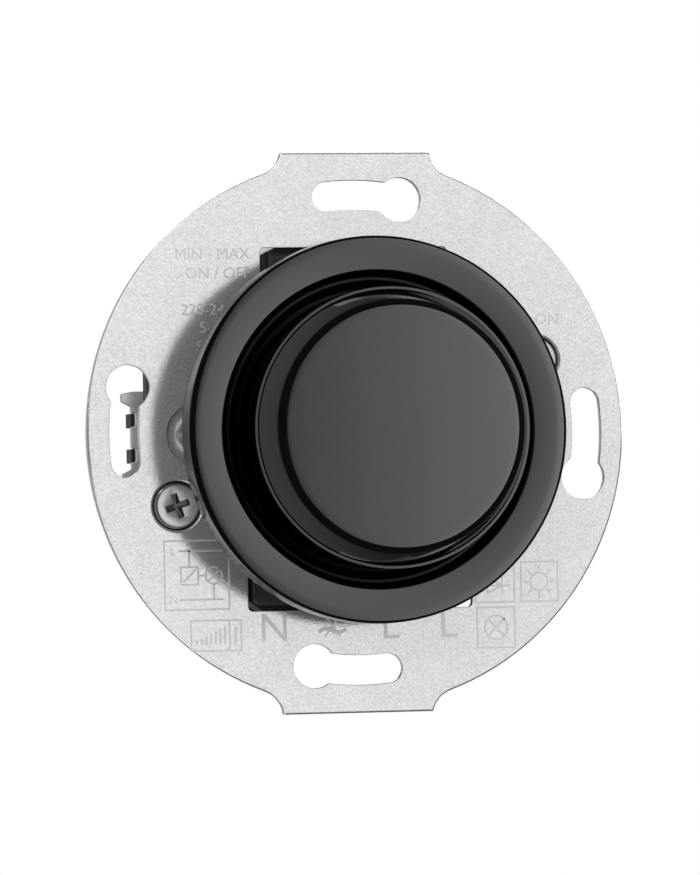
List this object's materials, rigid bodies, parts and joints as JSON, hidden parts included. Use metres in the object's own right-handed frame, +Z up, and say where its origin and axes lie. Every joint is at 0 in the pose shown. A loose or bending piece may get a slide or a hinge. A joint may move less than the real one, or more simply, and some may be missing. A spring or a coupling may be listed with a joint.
{
  "type": "rotary dimmer insert",
  "caption": "Flush-mounted rotary dimmer insert: steel mounting plate with keyhole slots, push-and-turn knob in a dished disc, housing with spreading claws and wire terminals behind.",
  "frame": {"origin": "centre of the mounting plate's rear face, in the middle of the box-screw circle", "axes": "+Z up the wall, -Y out of the wall towards the user, +Y into the wall box, +X to the right as the user sees it"},
  "size_m": [0.0694, 0.0521, 0.0708],
  "materials": {
    "zinc_sheet": "zinc plated, fine satin grain",
    "black_gloss": "polished black",
    "black_moulding": "fine moulded texture",
    "grey_moulding": "moulded",
    "white_moulding": "moulded",
    "screw_steel": "zinc plated",
    "claw_steel": "zinc plated",
    "spring_steel": "drawn wire",
    "shaft_metal": "turned",
    "brass": "turned or stamped",
    "copper": "enamelled wire",
    "ferrite": "coated powder core",
    "capacitor_can": "shrink sleeve",
    "aluminium_sheet": "rolled",
    "silicone": "smooth",
    "track_laminate": "laminate with printed track",
    "board_laminate": "solder resist",
    "fuse_glass": "glass tube with metal caps"
  },
  "bodies": {
    "housing": {"mounting_plate": "zinc_sheet", "center_disc": "black_gloss", "threaded_bushing": "brass", "disc_washer": "screw_steel", "disc_nut": "brass", "plate_screws": "screw_steel", "housing_front": "black_moulding", "housing_base": "black_moulding", "terminal_block": "black_moulding", "terminal_clamps": "brass", "terminal_screws": "screw_steel", "potentiometer_case": "grey_moulding", "resistor_disc": "track_laminate", "circuit_board": "board_laminate", "switch_body": "grey_moulding", "return_spring": "spring_steel", "choke_core": "ferrite", "choke_winding": "copper", "film_capacitor": "grey_moulding", "electrolytic_capacitor": "capacitor_can", "power_transistors": "black_moulding", "insulating_pad": "silicone", "heat_sink": "aluminium_sheet", "fuse": "fuse_glass", "fuse_clips": "brass", "control_chip": "black_moulding"},
    "push_plunger": {"push_plunger": "white_moulding"},
    "knob": {"knob": "black_gloss", "knob_clip": "spring_steel", "control_shaft": "shaft_metal"},
    "wiper_rotor": {"wiper_rotor": "white_moulding"},
    "left_claw_screw": {"left_claw_screw": "screw_steel"},
    "left_claw": {"left_claw": "claw_steel"},
    "right_claw_screw": {"right_claw_screw": "screw_steel"},
    "right_claw": {"right_claw": "claw_steel"}
  },
  "joints": [
    {"name": "knob_push", "type": "slide", "parent": "housing", "child": "push_plunger", "axis": [0, 1, 0], "range_m": [0, 0.0015], "stiffness_N_per_m": 900, "springref_m": -0.002, "deforming": ["return_spring"]},
    {"name": "knob_turn", "type": "hinge", "parent": "push_plunger", "child": "knob", "pos_m": [0, 0, 0], "axis": [0, 1, 0], "range_deg": [-135, 135]},
    {"name": "rotor_turn", "type": "hinge", "parent": "housing", "child": "wiper_rotor", "pos_m": [0, 0, 0], "axis": [0, 1, 0], "range_deg": [-135, 135]},
    {"name": "left_screw_turn", "type": "hinge", "parent": "housing", "child": "left_claw_screw", "pos_m": [-0.0234, 0, -0.0089], "axis": [0, 1, 0], "range_deg": [0, 2160]},
    {"name": "left_claw_spread", "type": "hinge", "parent": "housing", "child": "left_claw", "pos_m": [-0.0234, 0.019, -0.0089], "axis": [0, 0, -1], "range_deg": [0, 14]},
    {"name": "right_screw_turn", "type": "hinge", "parent": "housing", "child": "right_claw_screw", "pos_m": [0.0234, 0, 0.0089], "axis": [0, 1, 0], "range_deg": [0, 2160]},
    {"name": "right_claw_spread", "type": "hinge", "parent": "housing", "child": "right_claw", "pos_m": [0.0234, 0.019, 0.0089], "axis": [0, 0, 1], "range_deg": [0, 14]}
  ],
  "couplings": [
    {"joint": "rotor_turn", "follows": "knob_turn", "ratio": 1},
    {"joint": "left_claw_spread", "follows": "left_screw_turn", "ratio": 0.0064815},
    {"joint": "right_claw_spread", "follows": "right_screw_turn", "ratio": 0.0064815}
  ]
}
